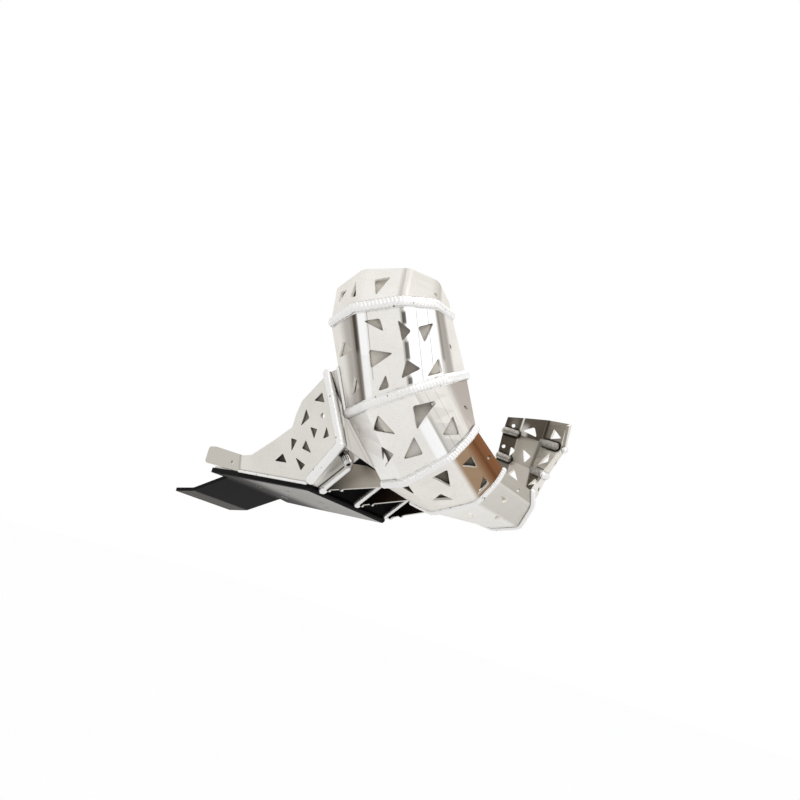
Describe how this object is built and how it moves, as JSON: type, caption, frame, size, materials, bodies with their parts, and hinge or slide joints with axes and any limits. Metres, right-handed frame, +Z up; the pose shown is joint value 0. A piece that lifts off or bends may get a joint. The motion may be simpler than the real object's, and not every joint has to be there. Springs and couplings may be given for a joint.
{
  "type": "motorcycle skid plate",
  "caption": "Welded aluminium motorcycle skid plate with a black plastic bottom and a folded exhaust guard cut open with triangles.",
  "frame": {"origin": "middle of the floor's upper face, where the frame of the bike rests", "axes": "+X to the front of the bike, +Y to its left, +Z up"},
  "size_m": [0.6145, 0.4367, 0.35],
  "materials": {
    "aluminium": "brushed sheet, satin",
    "weld": "rippled weld",
    "inner_sheet": "plain sheet, dull",
    "liner": "dark sheet, dull",
    "plastic": "black, dull",
    "steel": "plated, worn"
  },
  "bodies": {
    "root": {"floor_panel": "aluminium", "wall_right": "aluminium", "wall_left": "aluminium", "wall_liner_right": "liner", "wall_liner_left": "liner", "plastic_bottom": "plastic", "plastic_screws": "steel", "plastic_nuts": "steel", "rib_right": "aluminium", "rib_centre": "aluminium", "rib_left": "aluminium", "guard_1": "aluminium", "guard_2": "aluminium", "guard_3": "aluminium", "guard_4": "aluminium", "guard_5": "aluminium", "guard_6": "aluminium", "guard_7": "aluminium", "guard_8": "aluminium", "bead_1": "weld", "bead_2": "weld", "bead_3": "weld", "bead_4": "weld", "bead_5": "weld", "bead_6": "weld", "bead_7": "weld", "inner_beads": "weld", "inner_plate": "inner_sheet", "gusset": "aluminium", "gusset_bead": "weld", "rib_beads": "weld", "front_bead_right": "weld", "front_bead_left": "weld", "upper_bead_right": "weld", "upper_bead_left": "weld", "floor_bead_right": "weld", "floor_bead_left": "weld", "front_bolts": "steel", "front_nuts": "steel", "front_sleeves": "steel", "front_washers": "steel"}
  },
  "joints": []
}
